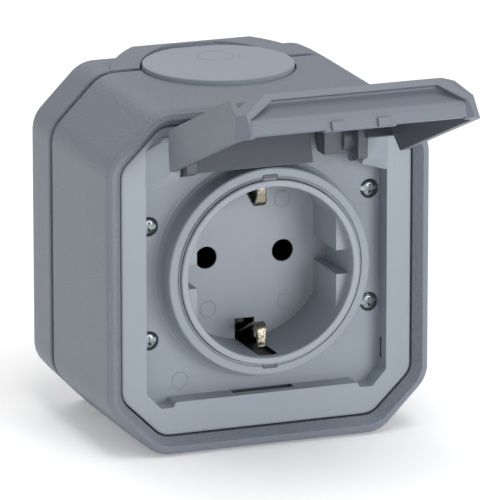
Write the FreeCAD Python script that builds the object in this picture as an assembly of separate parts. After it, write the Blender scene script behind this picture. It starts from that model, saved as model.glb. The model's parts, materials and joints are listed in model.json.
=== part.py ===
import FreeCAD, Part
import math
import os
from FreeCAD import Vector

# Outdoor surface socket with a hinged lid. Millimetres, +Z up, front towards -Y.
# The origin is the centre of the back face, on the wall. A depth is a distance out from the wall: y = -depth.

# Driving dimensions: outlines
BODY_W = 80.0             # back box and housing, at the joint between them
BODY_H = 82.7
BODY_CUT_W = 12.2         # corner chamfer, along the width and the height
BODY_CUT_H = 12.4
BODY_R = 8.0              # rounding where chamfer and side meet
PANEL_W = 71.3
PANEL_H = 73.3
PANEL_CUT_W = 9.7
PANEL_CUT_H = 9.5
PANEL_R = 5.0
PANEL_GAP = 0.35          # around the panel in the housing

# Depths from the wall
BOX_DEPTH = 12.6
JOINT_GAP = 2.2           # between back box and housing, bridged by the seal
PANEL_DEPTH = 50.0        # front face of the panel
LIP = 2.6                 # the housing's lip stands this far before the panel
LIP_R = 2.0
LIP_BEVEL = 1.7           # slope from the lip's ridge down to the panel
POCKET = 5.0              # recess in the panel
BOX_TAPER = 0.35          # the box narrows by this much on each side at the wall
BOX_TAPER_DEPTH = 4.5
DRAFT_DEPTH = 24.0        # first stretch of the housing, with little draft
FRONT_DRAFT = 0.4         # what the housing has drawn in at its front
EDGE_R = 0.3

# Walls and clearances
BOX_WALL = 3.6
BOX_FLOOR = 2.4
HOUSING_WALL = 2.4
PANEL_WALL = 2.2
PAN_WALL = 1.8            # side walls of the recess
SEAT = 0.05               # left between flat faces that bear on each other
TONGUE_GAP = 0.25         # the box's locating rim inside the housing
TONGUE_LENGTH = 4.5
SEAL_SET_BACK = 1.3
LEDGE_T = 2.2             # ledge in the housing that carries the panel
LEDGE_LAP = 1.7           # it reaches this far in under the panel's edge
PANEL_SEAL_T = 1.2
SKIRT = 4.6               # the panel's edge, front to back
SKIRT_WALL = 2.0

# Socket well
WELL_Z = 0.5              # height of the well's axis
WELL_R = 20.3
WELL_WALL = 1.55
WELL_DEPTH = 17.5         # from rim to floor
RIM_PROUD = 2.6           # rim before the panel
RIM_ROUND = 0.25
COLLAR_W = 2.6            # collar of the panel around the well
COLLAR_PROUD = 1.75
COLLAR_FLARE = 2.0        # rounding of its foot on the plate
COLLAR_GROOVE = 0.3
WELL_FLOOR = 2.0
WELL_GAP = 0.2            # between well and collar
PIN_SPACING = 19.0
PIN_HOLE_R = 2.65
GUIDE_X = 17.15           # flat faces of the two side guides
GUIDE_GROOVE = 5.7
GUIDE_SET_BACK = 3.0
EARTH_SLOT_W = 4.8        # slots for the earth clips
EARTH_SLOT_IN = 4.9       # the slot's inner end, from the well's wall
EARTH_POCKET = 0.75       # pocket in the wall behind a clip
EARTH_POCKET_TOP = 2.2    # it ends this far below the rim
FLANGE_W = 3.75
FLANGE_T = 1.9
WELL_SEAL_T = 0.8
KEY_W = 3.4               # keys that stop the well from turning
KEY_OUT = 1.1
KEY_DEEP = 1.3
HOOK_W = 9.0              # snap hooks that hold the well's flange
HOOK_T = 1.5
HOOK_GAP = 0.25
HOOK_NOSE = 1.6

# Recess in the panel
RECESS_SIDE = 6.05        # from the panel's edges to the recess
RECESS_BELOW = 7.75
RECESS_ABOVE = 2.35
RECESS_CUT_W = 4.0        # its upper corners
RECESS_CUT_H = 3.1
RECESS_FOOT_W = 3.4       # its lower corners
RECESS_FOOT_H = 2.6
RECESS_DIP = 1.2          # the corners reach this far below the raised middle
BUMP_SIDE = 7.0           # from the recess's side to the raised middle of the lower edge
BUMP_SLOPE = 0.4
LATCH_W = 15.0            # slot for the lid's catches
LATCH_H = 2.6
LATCH_DEEP = 3.2
SIDE_SLOT_LOW = 4.6       # narrow slots in the side walls, above the lower edge
SIDE_SLOT_LENGTH = 4.8
SIDE_SLOT_H = 1.0
SIDE_SLOT_DEEP = 1.4
SCREW_SIDE = 2.4          # screw axes, from the recess's sides
SCREW_FAR = 15.6          # and from the well's axis: far ones and near ones across from them
SCREW_NEAR = 11.6
SCREW_HEAD_R = 2.0
SCREW_HEAD_H = 1.5
SCREW_SINK = 1.3          # counterbore of the screw heads in the plate
SCREW_SINK_GAP = 0.3
SCREW_HOLE_GAP = 0.35
SCREW_SHANK_R = 1.55
SCREW_LENGTH = 16.0
SCREW_SLOT = 0.7
POST_R = 3.6
POST_RIB = 1.4
THREAD_GAP = 0.05

# Lid and hinge
HINGE_PROUD = 1.1         # hinge axis before the panel's face
HINGE_DROP = 5.95         # and below the panel's upper edge
HINGE_PIN_R = 1.25
HINGE_PIN_DEEP = 2.3      # the pin's length in the ear
HINGE_PIN_IN = 4.2        # and in the lid
HINGE_RUNNING_GAP = 0.06
BARREL_R = 4.1
BARREL_GAP = 0.4
BARREL_W = 6.9
BARREL_SHORT = 2.5        # on the side that the lid's rear wall covers
BARREL_FRONT = 2.0        # flat sides, before and below the axis when the lid is open
BARREL_BELOW = 3.4
DISC_R = 5.7
DISC_W = 2.4
CHEEK_LOW = 3.6           # web from the disc to the lid's face: its lower side, below the axis
CHEEK_SLOPE = 0.41
DISC_GAP = 0.3            # between disc and the recess's plate
EAR_W = 7.1               # from the recess's side
EAR_GAP = 0.4             # between ear and lid
EAR_PROUD = 3.7           # nose before the panel's face
EAR_NOSE_W = 2.5
EAR_NOSE_H = 4.3
EAR_FOOT = 9.2            # the ear's foot below the axis, at the recess's side
EAR_SKEW = 2.6            # how much the foot climbs towards the middle of the part
LID_T = 9.8               # overall thickness
LID_SKIN = 2.0
LID_WALL = 1.8
LID_SIDE_GAP = 0.5        # between lid and recess
LID_OPEN = 112.2          # opening angle at rest, in degrees
LID_STEP_SIDE = 0.9       # how the sides draw in, at the middle and at the face
LID_FACE_SIDE = 2.1
LID_STEP_DEPTH = 4.5      # the middle section, behind the face
LID_STEP_END = 1.5        # and how the free end draws in
LID_FACE_END = 3.0
LID_TOP_BACK = 10.9       # upper ends of the sides, below the hinge axis
LID_TOP_STEP = 9.5
LID_TOP_FACE = 7.6
EAR_NOTCH = 3.6           # the end wall stands back beside the ears
LID_SEAL_SIDE = 0.3       # the lid's seal, inside the collar's rims
LID_SEAL_GAP = 0.25
LID_SEAL_W = 1.3

# Finger cove along the lid's free end
BAND_UP = 1.0             # band below the cove, above the recess's lower edge
LEG_W = 3.8               # corner legs beside the cove, at the band
COVE_SLOPE = 3.4
COVE_LEAN = 5.8           # the cove narrows towards the face
COVE_LEAN_LOW = 5.6
COVE_RIM = 1.6
CATCH_X = 5.5
CATCH_W = 3.0
CATCH_H = 2.0
CATCH_PROUD = 0.7
BAND_MIDDLE = 8.5         # half of the band's lower middle
BAND_TRIM = 0.4
REAR_END = 10.0           # the rear wall ends here on the right

# Cable entry on top
ENTRY_Y = -18.1
ENTRY_R = 17.8
ENTRY_FLAT = 16.9         # its flat side, from the centre towards the wall
ENTRY_PROUD = 1.15
ENTRY_GAP = 0.45
ENTRY_STEP = 1.2          # recess for the plug's rim, below the top face
ENTRY_NECK = 0.9          # the neck is this much smaller than the rim
ENTRY_FIT = 0.12
ENTRY_LIP = 1.2           # lip that snaps behind the wall
ENTRY_LIP_OUT = 0.3
MEMBRANE = 1.3
BOSS_H = 2.05             # pad around the entry: its height at the wall, fading towards the joint
BOSS_TOP_R = 23.3
BOSS_BASE_R = 25.8

# Wall fixing
FIX_SPACING = 62.0
FIX_R = 2.6
FIX_PAD_R = 5.5
FIX_PAD_H = 1.6

# Inner works behind the well's floor
CARRIER_SCREW_X = 13.5
CARRIER_SCREW_LOW = 13.5  # below the well's axis
CARRIER_SCREW_R = 1.2
CARRIER_SCREW_LENGTH = 6.2
CARRIER_BOSS_R = 2.9
CARRIER_BOSS_H = 3.0
CARRIER_W = 42.0
CARRIER_BELOW = 10.0
CARRIER_ABOVE = 12.7
CARRIER_DEEP = 14.0
CARRIER_FLOOR = 2.0
CARRIER_HEAD_W = 12.4
CARRIER_HEAD_H = 11.0
CARRIER_TAB_T = 2.2
CHAMBER_IN = 3.8
CHAMBER_OUT = 19.2
CHAMBER_BELOW = 8.0
CHAMBER_ABOVE = 10.8
STRIP = 0.8               # sheet of the contacts
EARTH_STRIP_W = 4.3
EARTH_BLOCK_UP = 15.1     # lower side of the earth terminal, above the well's axis
EARTH_BLOCK_W = 7.2
EARTH_BLOCK_H = 6.4
TERMINAL_X = 15.4
TERMINAL_UP = 6.9         # above the well's axis
TERMINAL_RISE = 7.55      # axis of the clamp screws, before the carrier's back
TERMINAL_W = 6.6
TERMINAL_D = 7.6
TERMINAL_H = 7.2
TERMINAL_SCREW_R = 1.5
TERMINAL_SCREW_LENGTH = 4.0
WIRE_R = 1.7
LEAF_LENGTH = 10.0        # sprung leaves around a pin
LEAF_W = 6.0
LEAF_FOOT = 3.7           # half distances between the leaves
LEAF_PINCH = 2.3
LEAF_MOUTH = 3.2
CLIP_FOOT = 1.9           # earth clip: distances from the well's wall
CLIP_NOSE = 6.4
CLIP_NOSE_UP = 9.2        # its nose above the well's floor
CLIP_TIP_UP = 10.9
CLIP_NOSE_R = 1.3

os.makedirs("parts", exist_ok=True)
TOP_Z = BODY_H / 2
JOINT_DEPTH = BOX_DEPTH + JOINT_GAP
LIP_DEPTH = PANEL_DEPTH + LIP
RECESS_DEPTH = PANEL_DEPTH - POCKET
PLATE_BACK = RECESS_DEPTH - PANEL_WALL
LEDGE_FRONT = PANEL_DEPTH - SKIRT - PANEL_SEAL_T
RIM_DEPTH = PANEL_DEPTH + RIM_PROUD
COLLAR_DEPTH = PANEL_DEPTH + COLLAR_PROUD
FLOOR_DEPTH = RIM_DEPTH - WELL_DEPTH
FLOOR_BACK = FLOOR_DEPTH - WELL_FLOOR
WELL_OUT_R = WELL_R + WELL_WALL
COLLAR_IN_R = WELL_OUT_R + WELL_GAP
COLLAR_R = COLLAR_IN_R + COLLAR_W
FLANGE_R = WELL_OUT_R + FLANGE_W
RECESS_X = PANEL_W / 2 - RECESS_SIDE
RECESS_LOW = RECESS_BELOW - PANEL_H / 2
RECESS_TOP = PANEL_H / 2 - RECESS_ABOVE
RECESS_CORNER_LOW = RECESS_LOW - RECESS_DIP
SCREW_X = RECESS_X - SCREW_SIDE
CARRIER_FRONT = FLOOR_BACK - SEAT
CARRIER_BACK = CARRIER_FRONT - CARRIER_DEEP
CARRIER_LOW = WELL_Z - CARRIER_BELOW
CARRIER_HIGH = WELL_Z + CARRIER_ABOVE
CARRIER_SCREWS = [(side * CARRIER_SCREW_X, WELL_Z - CARRIER_SCREW_LOW) for side in (-1, 1)]
EARTH_BLOCK_LOW = WELL_Z + EARTH_BLOCK_UP
EARTH_BLOCK_Z = EARTH_BLOCK_LOW + EARTH_BLOCK_H / 2
TERMINAL_Z = WELL_Z + TERMINAL_UP
TERMINAL_DEPTH = CARRIER_BACK + TERMINAL_RISE
CHAMBER_BACK = CARRIER_BACK + CARRIER_FLOOR
HINGE_DEPTH = PANEL_DEPTH + HINGE_PROUD
HINGE_Z = PANEL_H / 2 - HINGE_DROP
EAR_IN = RECESS_X - EAR_W
TONGUE_X = EAR_IN - EAR_GAP
LID_FACE = HINGE_DEPTH + BARREL_R
LID_BACK = LID_FACE - LID_T
LID_END = RECESS_CORNER_LOW + LID_SIDE_GAP
LID_X = RECESS_X - LID_SIDE_GAP
BAND_Z = RECESS_LOW + BAND_UP
ENTRY_FLOOR_Z = TOP_Z - ENTRY_STEP


def rounded_wire(points, radius, place):
    """Closed wire through 2-D points with rounded corners; place turns (a, b) into a 3-D point."""
    count = len(points)
    radii = radius if isinstance(radius, (list, tuple)) else [radius] * count
    corners = []
    for index, (a, b) in enumerate(points):
        here = Vector(a, b, 0)
        before = Vector(*points[index - 1], 0) - here
        after = Vector(*points[(index + 1) % count], 0) - here
        before.normalize()
        after.normalize()
        half = before.getAngle(after) / 2
        if radii[index] <= 0 or half > math.pi / 2 - 1e-6:
            corners.append((here, None, here))
            continue
        reach = radii[index] / math.tan(half)
        bisector = before + after
        bisector.normalize()
        centre = here + bisector * (radii[index] / math.sin(half))
        corners.append((here + before * reach, centre - bisector * radii[index], here + after * reach))
    edges = []
    for index, (start, middle, end) in enumerate(corners):
        if middle is not None:
            edges.append(Part.Arc(place(start), place(middle), place(end)).toShape())
        following = corners[(index + 1) % count][0]
        if end.distanceToPoint(following) > 1e-6:
            edges.append(Part.LineSegment(place(end), place(following)).toShape())
    return Part.Wire(edges)


def front_wire(points, radius, depth):
    return rounded_wire(points, radius, lambda p: Vector(p.x, -depth, p.y))


def plate(points, radius, depth_low, depth_high):
    """Prism between two depths with an outline in the front view."""
    face = Part.Face(front_wire(points, radius, depth_low))
    return face.extrude(Vector(0, depth_low - depth_high, 0))


def skin(sections):
    """Straight-sided solid through (points, radius, depth) sections."""
    wires = [front_wire(*section) for section in sections]
    return Part.makeLoft(wires, True, True)


def side_prism(points, radius, x_low, x_high):
    """Prism along X with an outline given as (depth, height)."""
    wire = rounded_wire(points, radius, lambda p: Vector(x_low, -p.x, p.y))
    return Part.Face(wire).extrude(Vector(x_high - x_low, 0, 0))


def level_wire(points, height):
    """Horizontal wire through (x, depth) points."""
    corners = [Vector(x, -depth, height) for x, depth in points]
    return Part.makePolygon(corners + corners[:1])


def block(x_low, x_high, depth_low, depth_high, z_low, z_high):
    corner = Vector(x_low, -depth_high, z_low)
    return Part.makeBox(x_high - x_low, depth_high - depth_low, z_high - z_low, corner)


def front_rod(x, z, radius, depth_low, depth_high):
    """Cylinder along Y."""
    return Part.makeCylinder(radius, depth_high - depth_low, Vector(x, -depth_high, z), Vector(0, 1, 0))


def cross_rod(depth, z, radius, x_low, x_high):
    """Cylinder along X."""
    return Part.makeCylinder(radius, x_high - x_low, Vector(x_low, -depth, z), Vector(1, 0, 0))


def upright_rod(x, y, radius, z_low, z_high):
    return Part.makeCylinder(radius, z_high - z_low, Vector(x, y, z_low))


def turned(outline):
    """Solid of revolution about the well's axis through (radius, depth) points."""
    wire = Part.makePolygon([Vector(r, -depth, WELL_Z) for r, depth in outline + outline[:1]])
    return Part.Face(wire).revolve(Vector(0, 0, WELL_Z), Vector(0, 1, 0), 360)


def well_ring(outer, inner, depth_low, depth_high):
    """Ring about the well's axis."""
    ring = front_rod(0, WELL_Z, outer, depth_low, depth_high)
    return ring.cut(front_rod(0, WELL_Z, inner, depth_low - 1, depth_high + 1))


def octagon(width, height, cut_w, cut_h, inset=0.0):
    """Rectangle with four chamfered corners, moved inwards by the inset on every side."""
    slant = math.hypot(cut_w, cut_h)
    small_w = cut_w - inset * (1 - (slant - cut_w) / cut_h)
    small_h = cut_h - inset * (1 - (slant - cut_h) / cut_w)
    x, z = width / 2 - inset, height / 2 - inset
    return [(x, -z + small_h), (x, z - small_h), (x - small_w, z), (-x + small_w, z),
            (-x, z - small_h), (-x, -z + small_h), (-x + small_w, -z), (x - small_w, -z)]


def body_outline(inset=0.0):
    return octagon(BODY_W, BODY_H, BODY_CUT_W, BODY_CUT_H, inset)


def panel_outline(inset=0.0):
    return octagon(PANEL_W, PANEL_H, PANEL_CUT_W, PANEL_CUT_H, inset)


def body_plate(inset, depth_low, depth_high):
    return plate(body_outline(inset), BODY_R - inset, depth_low, depth_high)


def panel_plate(inset, depth_low, depth_high):
    return plate(panel_outline(inset), PANEL_R - inset, depth_low, depth_high)


def body_section(inset, depth):
    return body_outline(inset), BODY_R - inset, depth


def fuse(shapes):
    first, *others = shapes
    return first.fuse(others).removeSplitter() if others else first


def mirrored(shape):
    return shape.mirror(Vector(0, 0, 0), Vector(1, 0, 0))


def span(side, inner, outer):
    """Lower and upper X of something between two distances from the middle, on one side."""
    return sorted((side * inner, side * outer))


def screw_places():
    """Left upper, left lower, right upper and right lower; opposite ones are alike through the well's axis."""
    places = []
    for side in (-1, 1):
        for level in (1, -1):
            reach = SCREW_FAR if side == level else SCREW_NEAR
            places.append((side * SCREW_X, WELL_Z + level * reach))
    return places


def entry_disc(radius, flat, z_low, z_high):
    """Round plug of the cable entry with its flat side towards the wall."""
    disc = upright_rod(0, ENTRY_Y, radius, z_low, z_high)
    keep = Part.makeBox(4 * radius, 4 * radius, z_high - z_low,
                        Vector(-2 * radius, ENTRY_Y + flat - 4 * radius, z_low))
    return disc.common(keep)


def entry_cut(wall):
    """The stepped hole that the cable entry's plug sits in."""
    rim = entry_disc(ENTRY_R + ENTRY_GAP, ENTRY_FLAT + ENTRY_GAP, ENTRY_FLOOR_Z, TOP_Z + 2 * BOSS_H)
    neck_r = ENTRY_R - ENTRY_NECK + ENTRY_FIT
    neck = entry_disc(neck_r, ENTRY_FLAT - ENTRY_NECK + ENTRY_FIT, TOP_Z - 2 * wall, ENTRY_FLOOR_Z)
    return rim.fuse(neck)


def entry_boss():
    """Conical pad around the cable entry; its top slopes from the wall down to the joint."""
    low, high = TOP_Z - BOX_TAPER, TOP_Z + BOSS_H
    cone = Part.makeCone(BOSS_BASE_R, BOSS_TOP_R, high - low, Vector(0, ENTRY_Y, low))
    slope = side_prism([(0, low - 1), (0, high), (BOX_DEPTH, TOP_Z), (BOX_DEPTH, low - 1)], 0,
                       -BOSS_BASE_R, BOSS_BASE_R)
    foot = entry_disc(BOSS_TOP_R, ENTRY_FLAT * 2, low - 1, low)
    return cone.fuse(foot).common(slope)


def back_box():
    outer = skin([body_section(BOX_TAPER, 0), body_section(0.1, BOX_TAPER_DEPTH),
                  body_section(0, BOX_DEPTH - EDGE_R), body_section(EDGE_R, BOX_DEPTH)])
    inner = body_plate(BOX_WALL, BOX_FLOOR, BOX_DEPTH + 1)
    tongue = body_plate(HOUSING_WALL + TONGUE_GAP, BOX_DEPTH - 0.5, BOX_DEPTH + TONGUE_LENGTH)
    tongue = tongue.cut(body_plate(BOX_WALL, BOX_DEPTH - 2, BOX_DEPTH + 2 * TONGUE_LENGTH))
    shell = outer.fuse(entry_boss()).cut(inner).fuse(tongue)
    shell = shell.cut(entry_cut(BOX_WALL))
    lip_room = entry_disc(ENTRY_R + ENTRY_LIP_OUT + 3 * ENTRY_FIT, ENTRY_FLAT - ENTRY_NECK + ENTRY_FIT,
                          TOP_Z - BOX_WALL - 2, TOP_Z - HOUSING_WALL)
    shell = shell.cut(lip_room)
    posts = []
    holes = []
    inner_x = BODY_W / 2 - BOX_WALL
    for x, z in screw_places():
        posts.append(front_rod(x, z, POST_R, BOX_FLOOR - 0.5, PLATE_BACK - SEAT))
        low, high = span(math.copysign(1, x), SCREW_X + POST_R - 0.8, inner_x + 0.5)
        posts.append(block(low, high, BOX_FLOOR - 0.5, BOX_DEPTH, z - POST_RIB / 2, z + POST_RIB / 2))
        holes.append(front_rod(x, z, SCREW_SHANK_R + THREAD_GAP, PLATE_BACK - SCREW_LENGTH, PLATE_BACK + 1))
    for level in (-1, 1):
        z = level * FIX_SPACING / 2
        posts.append(front_rod(0, z, FIX_PAD_R, BOX_FLOOR - 0.5, BOX_FLOOR + FIX_PAD_H))
        holes.append(front_rod(0, z, FIX_R, -1, BOX_FLOOR + FIX_PAD_H + 1))
    return fuse([shell] + posts).cut(holes)


def box_seal():
    low, high = BOX_DEPTH + SEAT, JOINT_DEPTH - SEAT
    inside = HOUSING_WALL + TONGUE_GAP - 2 * SEAT
    ring = body_plate(SEAL_SET_BACK, low, high).cut(body_plate(inside, low - 1, high + 1))
    return ring.cut(entry_disc(ENTRY_R + ENTRY_GAP, ENTRY_FLAT + ENTRY_GAP, 0, TOP_Z + 5))


def front_housing():
    front = LIP_DEPTH
    steps = [(LIP_R * (1 - math.cos(angle)), front - LIP_R * (1 - math.sin(angle)))
             for angle in (math.radians(a) for a in (0, 30, 60, 90))]
    sections = [body_section(EDGE_R, JOINT_DEPTH), body_section(0, JOINT_DEPTH + EDGE_R),
                body_section(0.1, JOINT_DEPTH + DRAFT_DEPTH)]
    sections += [body_section(FRONT_DRAFT + inset, depth) for inset, depth in steps]
    outer = skin(sections)
    hollow = body_plate(HOUSING_WALL, JOINT_DEPTH - 1, LEDGE_FRONT - LEDGE_T)
    mouth = panel_plate(LEDGE_LAP, JOINT_DEPTH, LEDGE_FRONT + 1)
    nest = panel_plate(-PANEL_GAP, LEDGE_FRONT, front + 1)
    reach = PANEL_GAP + LIP_BEVEL
    funnel = skin([(panel_outline(-PANEL_GAP), PANEL_R + PANEL_GAP, PANEL_DEPTH + 0.2),
                   (panel_outline(-reach), PANEL_R + reach, front + 0.01)])
    shell = outer.cut([hollow, mouth, nest, funnel])
    return shell.cut(entry_cut(HOUSING_WALL))


def cable_entry():
    top = TOP_Z + ENTRY_PROUD
    rim = entry_disc(ENTRY_R, ENTRY_FLAT, ENTRY_FLOOR_Z + ENTRY_FIT, top)
    edges = [e for e in rim.Edges if abs(e.BoundBox.ZMin - top) < 1e-6 and e.BoundBox.ZLength < 1e-6]
    rim = rim.makeFillet(EDGE_R, edges)
    neck_r, neck_flat = ENTRY_R - ENTRY_NECK, ENTRY_FLAT - ENTRY_NECK
    lip_top = TOP_Z - HOUSING_WALL - ENTRY_FIT
    neck = entry_disc(neck_r, neck_flat, lip_top - 0.5, ENTRY_FLOOR_Z + ENTRY_FIT + 0.5)
    lip = entry_disc(ENTRY_R + ENTRY_LIP_OUT, neck_flat, lip_top - ENTRY_LIP, lip_top)
    wall = BOX_WALL / 2
    under = entry_disc(neck_r - wall, neck_flat - wall, lip_top - 2 * ENTRY_LIP, top - MEMBRANE)
    return fuse([rim, neck, lip]).cut(under)


def recess_points(top, wider=0.0):
    """Front outline of the recess: chamfered corners and a raised middle of the lower edge."""
    x = RECESS_X + wider
    corner, low = RECESS_CORNER_LOW - wider, RECESS_LOW - wider
    bump = RECESS_X - BUMP_SIDE
    right = [(x - RECESS_CUT_W, top), (x, top - RECESS_CUT_H), (x, RECESS_LOW + RECESS_FOOT_H),
             (RECESS_X - RECESS_FOOT_W + wider / 2, corner), (bump + BUMP_SLOPE, corner), (bump, low)]
    return right + [(-a, b) for a, b in reversed(right)]


def ear():
    """Right-hand hinge ear: level with the panel beside the wall, with a nose about the axis inside."""
    high = RECESS_TOP + 1
    back = RECESS_DEPTH - 1
    wall = RECESS_X + 0.2
    nose = PANEL_DEPTH + EAR_PROUD
    level = PANEL_DEPTH - SEAT
    foot = HINGE_Z - EAR_FOOT
    points = [(back, foot), (level, foot), (nose, HINGE_Z - EAR_NOSE_H), (nose, HINGE_Z + EAR_NOSE_H / 2),
              (level, RECESS_TOP + 0.6), (back, RECESS_TOP + 0.6)]
    side = side_prism(points, [0, 1.5, 2.5, 2.5, 0, 0], EAR_IN, wall)
    plan = level_wire([(EAR_IN, back), (EAR_IN, nose), (EAR_IN + EAR_NOSE_W, nose), (wall, level), (wall, back)],
                      foot)
    front = plate([(EAR_IN, foot + EAR_SKEW), (wall, foot), (wall, high), (EAR_IN, high)], 0, back, nose)
    shape = side.common(front).common(Part.Face(plan).extrude(Vector(0, 0, high - foot)))
    return shape.common(plate(recess_points(RECESS_TOP, 0.2), 0.6, back, nose + 1))


def collar():
    """Ring of the panel around the well, with a rounded foot and a fine groove beside the well."""
    inner, outer = COLLAR_IN_R, COLLAR_R
    front, edge = COLLAR_DEPTH, COLLAR_GROOVE
    flare = []
    for angle in (math.radians(a) for a in (0, 30, 60, 90)):
        flare.append((outer + COLLAR_FLARE * (1 - math.cos(angle)),
                      RECESS_DEPTH + COLLAR_FLARE * (1 - math.sin(angle))))
    outline = [(inner, PLATE_BACK), (inner, front), (inner + edge, front), (inner + edge, front - edge),
               (inner + 2 * edge, front - edge), (inner + 2 * edge, front), (outer - edge, front),
               (outer, front - edge)] + flare + [(outer + COLLAR_FLARE, PLATE_BACK)]
    return turned(outline)


def insert_panel():
    edge_back = PANEL_DEPTH - SKIRT
    rim = panel_plate(0, edge_back, PANEL_DEPTH)
    rim = rim.makeFillet(0.5, [e for e in rim.Edges if abs(e.BoundBox.YMax + PANEL_DEPTH) < 1e-6])
    rim = rim.cut(panel_plate(SKIRT_WALL, edge_back - 1, PANEL_DEPTH - PANEL_WALL))
    pan = plate(recess_points(RECESS_TOP + 1, PAN_WALL), 1.0, PLATE_BACK, PANEL_DEPTH - 1)
    half_latch = LATCH_W / 2
    behind = RECESS_LOW - LATCH_DEEP - 1
    pan = pan.fuse(block(-half_latch - 1, half_latch + 1, PLATE_BACK, PANEL_DEPTH - 1, behind,
                         RECESS_LOW - 1))
    inside = panel_plate(0, edge_back, PANEL_DEPTH + 3 * BARREL_R)
    inside = inside.fuse(panel_plate(LEDGE_LAP + PANEL_GAP, PLATE_BACK, edge_back + 1))
    solid = rim.fuse(pan.common(inside))
    solid = solid.cut(plate(recess_points(RECESS_TOP), 0.6, RECESS_DEPTH, PANEL_DEPTH + 5))
    solid = solid.cut(cross_rod(HINGE_DEPTH, HINGE_Z, BARREL_R + BARREL_GAP, -EAR_IN, EAR_IN))
    ear_block = ear().common(inside)
    solid = fuse([solid, ear_block, mirrored(ear_block), collar()])
    cuts = [front_rod(0, WELL_Z, COLLAR_IN_R, PLATE_BACK - 9, PANEL_DEPTH + 9)] + key_blocks(0.1, 0.1)
    for x, z in screw_places():
        cuts.append(front_rod(x, z, SCREW_SHANK_R + SCREW_HOLE_GAP, PLATE_BACK - 1, PANEL_DEPTH))
        cuts.append(front_rod(x, z, SCREW_HEAD_R + SCREW_SINK_GAP, RECESS_DEPTH - SCREW_SINK, PANEL_DEPTH))
    cuts.append(block(-half_latch, half_latch, RECESS_DEPTH, RECESS_DEPTH + LATCH_H,
                      RECESS_LOW - LATCH_DEEP, RECESS_LOW + 1))
    slot_low = RECESS_LOW + SIDE_SLOT_LOW
    for side in (-1, 1):
        low, high = span(side, RECESS_X - 1, RECESS_X + SIDE_SLOT_DEEP)
        cuts.append(block(low, high, RECESS_DEPTH + SIDE_SLOT_H, RECESS_DEPTH + 2 * SIDE_SLOT_H,
                          slot_low, slot_low + SIDE_SLOT_LENGTH))
        low, high = span(side, EAR_IN - 1, EAR_IN + HINGE_PIN_DEEP)
        cuts.append(cross_rod(HINGE_DEPTH, HINGE_Z, HINGE_PIN_R + 0.01, low, high))
    solid = solid.cut(cuts)
    return fuse([solid] + [snap_hook(side) for side in (-1, 1)])


def snap_hook(side):
    """Hook behind the plate that holds the well's flange."""
    flange_back = PLATE_BACK - WELL_SEAL_T - FLANGE_T
    end = flange_back - HOOK_NOSE
    inner = FLANGE_R + HOOK_GAP
    low, high = WELL_Z - HOOK_W / 2, WELL_Z + HOOK_W / 2
    stem = block(inner, inner + HOOK_T, end, PLATE_BACK + 0.5, low, high)
    nose = level_wire([(inner + 0.5, end), (inner - 0.3, end), (inner - 1.2, flange_back - SEAT),
                       (inner + 0.5, flange_back - SEAT)], low)
    hook = stem.fuse(Part.Face(nose).extrude(Vector(0, 0, HOOK_W))).removeSplitter()
    return hook if side > 0 else mirrored(hook)


def key_blocks(wider, deeper):
    """The two keys at the top and the bottom that stop the well from turning in the collar."""
    half = KEY_W / 2 + wider
    blocks = []
    for level in (-1, 1):
        ends = (WELL_OUT_R - 0.6, WELL_OUT_R + KEY_OUT + wider)
        low, high = sorted(WELL_Z + level * end for end in ends)
        blocks.append(block(-half, half, COLLAR_DEPTH - KEY_DEEP - deeper, COLLAR_DEPTH + deeper * 9, low, high))
    return blocks


def panel_seal():
    low, high = LEDGE_FRONT + SEAT, LEDGE_FRONT + PANEL_SEAL_T - SEAT
    return panel_plate(0.1, low, high).cut(panel_plate(LEDGE_LAP, low - 1, high + 1))


def socket_bowl():
    rim, edge = RIM_DEPTH, RIM_ROUND
    cup = turned([(0, FLOOR_BACK), (WELL_OUT_R, FLOOR_BACK), (WELL_OUT_R, rim - edge),
                  (WELL_OUT_R - edge, rim), (WELL_R + edge, rim), (WELL_R, rim - edge),
                  (WELL_R, FLOOR_DEPTH), (0, FLOOR_DEPTH)])
    flange_front = PLATE_BACK - WELL_SEAL_T
    flange = well_ring(FLANGE_R, WELL_OUT_R - 0.3, flange_front - FLANGE_T, flange_front)
    core = front_rod(0, WELL_Z, WELL_R + 0.4, FLOOR_DEPTH - 0.5, rim - GUIDE_SET_BACK)
    guides = []
    for side in (-1, 1):
        low, high = span(side, GUIDE_X, WELL_R + 1)
        slab = block(low, high, FLOOR_DEPTH - 0.5, rim, WELL_Z - WELL_R, WELL_Z + WELL_R)
        half = GUIDE_GROOVE / 2
        groove = block(low - 2, high + 2, FLOOR_DEPTH, rim, WELL_Z - half, WELL_Z + half)
        guides.append(slab.common(core).cut(groove))
    solid = fuse([cup, flange] + guides + key_blocks(0, 0) + [carrier_boss(x, z) for x, z in CARRIER_SCREWS])
    cuts = []
    for side in (-1, 1):
        cuts.append(front_rod(side * PIN_SPACING / 2, WELL_Z, PIN_HOLE_R, FLOOR_BACK - 1, FLOOR_DEPTH + 1))
    half = EARTH_SLOT_W / 2
    for level in (-1, 1):
        outer = WELL_Z + level * (WELL_R + EARTH_POCKET)
        low, high = sorted((WELL_Z + level * (WELL_R - EARTH_SLOT_IN), outer))
        cuts.append(block(-half, half, FLOOR_BACK - 1, FLOOR_DEPTH + 1, low, high))
        low, high = sorted((WELL_Z + level * (WELL_R - CLIP_FOOT - 0.5), outer))
        cuts.append(block(-half, half, FLOOR_BACK - 1, rim - EARTH_POCKET_TOP, low, high))
    for x, z in CARRIER_SCREWS:
        end = FLOOR_DEPTH - WELL_FLOOR * 0.4
        cuts.append(front_rod(x, z, CARRIER_SCREW_R + THREAD_GAP, FLOOR_BACK - 9, end))
    return solid.cut(cuts)


def bowl_seal():
    inner, outer = WELL_OUT_R + 2 * WELL_GAP, FLANGE_R - 0.3
    return well_ring(outer, inner, PLATE_BACK - WELL_SEAL_T + SEAT, PLATE_BACK - SEAT)


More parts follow.
